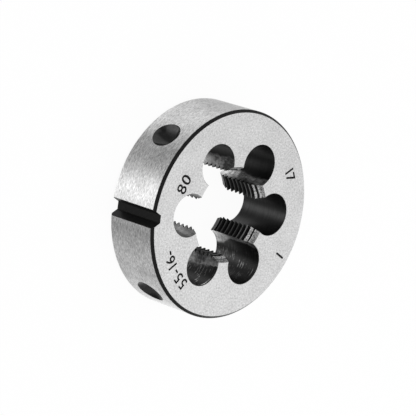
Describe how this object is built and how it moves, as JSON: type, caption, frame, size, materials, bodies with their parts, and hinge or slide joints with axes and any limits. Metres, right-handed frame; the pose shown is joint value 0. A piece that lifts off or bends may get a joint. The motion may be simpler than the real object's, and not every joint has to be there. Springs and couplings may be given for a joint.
{
  "type": "round threading die",
  "caption": "Solid round die with a left-hand toothed central bore, chip holes around it, a V notch and conical clamping dimples in its rim.",
  "frame": {"origin": "centre of the back face that the die rests on", "axes": "+Z along the die's axis, out of the front face; +X through the middle of a chip hole"},
  "size_m": [0.055, 0.055, 0.016],
  "materials": {
    "ground_steel": "ground faces and rim; black oxide in the chip holes, notch, dimples and edge chamfers"
  },
  "bodies": {
    "root": {"round_die": "ground_steel"}
  },
  "joints": []
}
